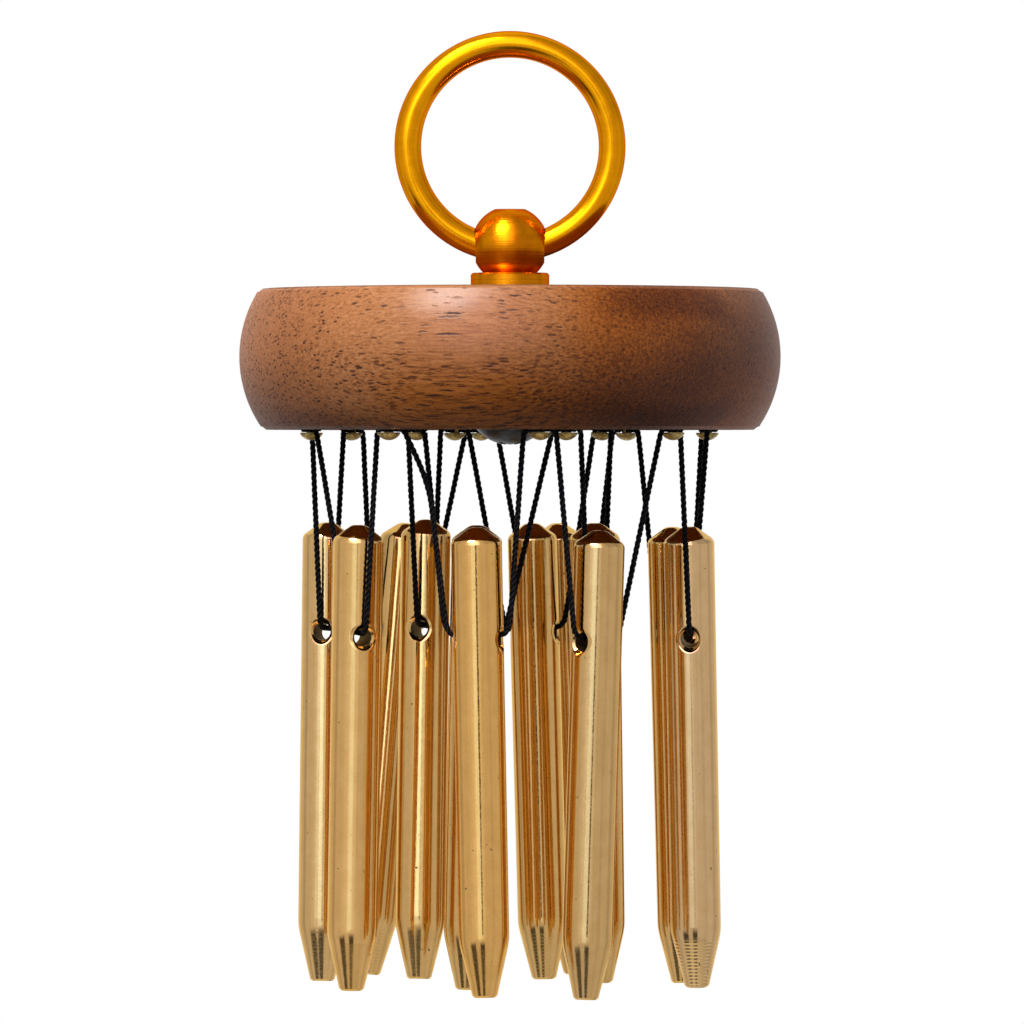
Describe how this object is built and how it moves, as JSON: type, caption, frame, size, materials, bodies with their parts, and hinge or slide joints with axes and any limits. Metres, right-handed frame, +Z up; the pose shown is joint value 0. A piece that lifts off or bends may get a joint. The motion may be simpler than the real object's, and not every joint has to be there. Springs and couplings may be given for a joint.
{
  "type": "hand chime",
  "caption": "Hand chime: a turned wooden disc that swings from a gold-coloured finger ring, with tapered brass bars slung under it in two circles on black cord.",
  "frame": {"origin": "centre of the finger ring", "axes": "+Z up, away from the bars; X along the swing axis in the ring's plane; -Y the front"},
  "size_m": [0.0866, 0.0866, 0.1533],
  "materials": {
    "ring_gold": "gold anodised, satin",
    "collar_gold": "gold anodised, satin",
    "wood": "oiled, satin",
    "screw_steel": "dark satin",
    "nail_brass": "dull",
    "cord": "twisted",
    "bar_brass": "polished"
  },
  "bodies": {
    "ring": {"finger_ring": "ring_gold"},
    "disc": {"ball_post": "ring_gold", "collar": "collar_gold", "wood_disc": "wood", "clamp_screw": "screw_steel", "nails": "nail_brass", "outer_wraps": "cord", "inner_wraps": "cord"},
    "outer_sling_1": {"outer_cord_1": "cord"},
    "outer_chime_1": {"outer_bar_1": "bar_brass"},
    "outer_sling_2": {"outer_cord_2": "cord"},
    "outer_chime_2": {"outer_bar_2": "bar_brass"},
    "outer_sling_3": {"outer_cord_3": "cord"},
    "outer_chime_3": {"outer_bar_3": "bar_brass"},
    "outer_sling_4": {"outer_cord_4": "cord"},
    "outer_chime_4": {"outer_bar_4": "bar_brass"},
    "outer_sling_5": {"outer_cord_5": "cord"},
    "outer_chime_5": {"outer_bar_5": "bar_brass"},
    "outer_sling_6": {"outer_cord_6": "cord"},
    "outer_chime_6": {"outer_bar_6": "bar_brass"},
    "outer_sling_7": {"outer_cord_7": "cord"},
    "outer_chime_7": {"outer_bar_7": "bar_brass"},
    "outer_sling_8": {"outer_cord_8": "cord"},
    "outer_chime_8": {"outer_bar_8": "bar_brass"},
    "inner_sling_1": {"inner_cord_1": "cord"},
    "inner_chime_1": {"inner_bar_1": "bar_brass"},
    "inner_sling_2": {"inner_cord_2": "cord"},
    "inner_chime_2": {"inner_bar_2": "bar_brass"},
    "inner_sling_3": {"inner_cord_3": "cord"},
    "inner_chime_3": {"inner_bar_3": "bar_brass"},
    "inner_sling_4": {"inner_cord_4": "cord"},
    "inner_chime_4": {"inner_bar_4": "bar_brass"}
  },
  "joints": [
    {"name": "disc_swing", "type": "hinge", "parent": "ring", "child": "disc", "pos_m": [0, 0, -0.01573], "axis": [1, 0, 0], "range_deg": [-90, 90]},
    {"name": "outer_swing_1", "type": "hinge", "parent": "disc", "child": "outer_sling_1", "pos_m": [-0.0073, -0.02927, -0.04526], "axis": [-0.9703, 0.2419, 0], "range_deg": [-4, 60]},
    {"name": "outer_tip_1", "type": "hinge", "parent": "outer_sling_1", "child": "outer_chime_1", "pos_m": [-0.00498, -0.02985, -0.07766], "axis": [0.9701, -0.2419, 0.0192], "range_deg": [-20, 6]},
    {"name": "outer_swing_2", "type": "hinge", "parent": "disc", "child": "outer_sling_2", "pos_m": [0.01554, -0.02586, -0.04526], "axis": [-0.8572, -0.515, 0], "range_deg": [-4, 60]},
    {"name": "outer_tip_2", "type": "hinge", "parent": "outer_sling_2", "child": "outer_chime_2", "pos_m": [0.01358, -0.02703, -0.07816], "axis": [0.7066, 0.7068, -0.0339], "range_deg": [-20, 6]},
    {"name": "outer_swing_3", "type": "hinge", "parent": "disc", "child": "outer_sling_3", "pos_m": [0.02927, -0.0073, -0.04526], "axis": [-0.2419, -0.9703, 0], "range_deg": [-4, 60]},
    {"name": "outer_tip_3", "type": "hinge", "parent": "outer_sling_3", "child": "outer_chime_3", "pos_m": [0.02872, -0.00948, -0.07766], "axis": [0.069, 0.9946, 0.0773], "range_deg": [-20, 6]},
    {"name": "outer_swing_4", "type": "hinge", "parent": "disc", "child": "outer_sling_4", "pos_m": [0.02586, 0.01554, -0.04526], "axis": [0.515, -0.8572, 0], "range_deg": [-4, 60]},
    {"name": "outer_tip_4", "type": "hinge", "parent": "outer_sling_4", "child": "outer_chime_4", "pos_m": [0.02661, 0.01428, -0.07796], "axis": [-0.5144, 0.8561, -0.0488], "range_deg": [-20, 6]},
    {"name": "outer_swing_5", "type": "hinge", "parent": "disc", "child": "outer_sling_5", "pos_m": [0.0073, 0.02927, -0.04526], "axis": [0.9703, -0.2419, 0], "range_deg": [-4, 60]},
    {"name": "outer_tip_5", "type": "hinge", "parent": "outer_sling_5", "child": "outer_chime_5", "pos_m": [0.00844, 0.02898, -0.07746], "axis": [-0.9694, 0.2417, -0.0419], "range_deg": [-20, 6]},
    {"name": "outer_swing_6", "type": "hinge", "parent": "disc", "child": "outer_sling_6", "pos_m": [-0.01554, 0.02586, -0.04526], "axis": [0.8572, 0.515, 0], "range_deg": [-4, 60]},
    {"name": "outer_tip_6", "type": "hinge", "parent": "outer_sling_6", "child": "outer_chime_6", "pos_m": [-0.01831, 0.02419, -0.07736], "axis": [-0.8531, -0.5126, 0.0976], "range_deg": [-20, 6]},
    {"name": "outer_swing_7", "type": "hinge", "parent": "disc", "child": "outer_sling_7", "pos_m": [-0.02927, 0.0073, -0.04526], "axis": [0.2419, 0.9703, 0], "range_deg": [-4, 60]},
    {"name": "outer_tip_7", "type": "hinge", "parent": "outer_sling_7", "child": "outer_chime_7", "pos_m": [-0.0295, 0.00635, -0.07716], "axis": [-0.1906, -0.9807, 0.0436], "range_deg": [-20, 6]},
    {"name": "outer_swing_8", "type": "hinge", "parent": "disc", "child": "outer_sling_8", "pos_m": [-0.02586, -0.01554, -0.04526], "axis": [-0.515, 0.8572, 0], "range_deg": [-4, 60]},
    {"name": "outer_tip_8", "type": "hinge", "parent": "outer_sling_8", "child": "outer_chime_8", "pos_m": [-0.02415, -0.01838, -0.07736], "axis": [0.2921, -0.9559, -0.0305], "range_deg": [-20, 6]},
    {"name": "inner_swing_1", "type": "hinge", "parent": "disc", "child": "inner_sling_1", "pos_m": [-0.00342, -0.01371, -0.04526], "axis": [-0.9703, 0.2419, 0], "range_deg": [-6, 4]},
    {"name": "inner_tip_1", "type": "hinge", "parent": "inner_sling_1", "child": "inner_chime_1", "pos_m": [-0.00554, -0.01318, -0.07746], "axis": [0.9701, -0.2419, -0.0209], "range_deg": [-6, 9]},
    {"name": "inner_swing_2", "type": "hinge", "parent": "disc", "child": "inner_sling_2", "pos_m": [0.01371, -0.00342, -0.04526], "axis": [-0.2419, -0.9703, 0], "range_deg": [-6, 4]},
    {"name": "inner_tip_2", "type": "hinge", "parent": "inner_sling_2", "child": "inner_chime_2", "pos_m": [0.0137, -0.00345, -0.07716], "axis": [0.2415, 0.9687, 0.0576], "range_deg": [-6, 9]},
    {"name": "inner_swing_3", "type": "hinge", "parent": "disc", "child": "inner_sling_3", "pos_m": [0.00342, 0.01371, -0.04526], "axis": [0.9703, -0.2419, 0], "range_deg": [-6, 4]},
    {"name": "inner_tip_3", "type": "hinge", "parent": "inner_sling_3", "child": "inner_chime_3", "pos_m": [0.00398, 0.01357, -0.07736], "axis": [-0.9699, 0.2418, -0.0279], "range_deg": [-6, 9]},
    {"name": "inner_swing_4", "type": "hinge", "parent": "disc", "child": "inner_sling_4", "pos_m": [-0.01371, 0.00342, -0.04526], "axis": [0.2419, 0.9703, 0], "range_deg": [-6, 4]},
    {"name": "inner_tip_4", "type": "hinge", "parent": "inner_sling_4", "child": "inner_chime_4", "pos_m": [-0.0137, 0.00346, -0.07666], "axis": [-0.2415, -0.9685, 0.061], "range_deg": [-6, 9]}
  ]
}
